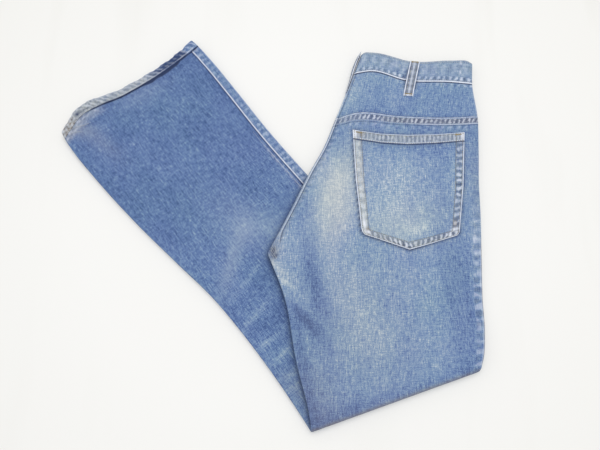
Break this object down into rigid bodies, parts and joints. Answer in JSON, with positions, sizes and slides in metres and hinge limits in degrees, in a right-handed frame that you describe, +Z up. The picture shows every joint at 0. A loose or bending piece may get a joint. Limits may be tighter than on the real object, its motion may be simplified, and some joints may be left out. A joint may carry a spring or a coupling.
{
  "type": "flared jeans",
  "caption": "Flared denim jeans lying folded in half with the backs outward and the legs folded under, with waistband, belt loops, yoke, back pocket and turned hem",
  "frame": {"origin": "middle of the folded garment's plan box, on the surface that it lies on", "axes": "+Z up from the surface, +X across towards the outseam of the seat half, +Y towards the waistband"},
  "size_m": [0.5958, 0.5578, 0.0165],
  "materials": {
    "denim": "washed mid-blue cotton denim twill, faded along the thigh and seat",
    "pocket_denim": "washed pale blue cotton denim twill with worn white edges",
    "band_denim": "doubled washed blue cotton denim, stitched in khaki thread",
    "hem_denim": "turned denim hem, roped and frayed to white at one corner"
  },
  "bodies": {
    "root": {"right_back_panel": "denim", "left_back_panel": "denim", "front_panels": "denim", "right_yoke": "denim", "left_yoke": "denim", "right_back_pocket": "pocket_denim", "left_back_pocket": "pocket_denim", "waistband": "band_denim", "right_back_belt_loop": "band_denim", "left_back_belt_loop": "band_denim", "centre_back_belt_loop": "band_denim", "right_leg_hem": "hem_denim", "left_leg_hem": "hem_denim"}
  },
  "joints": []
}
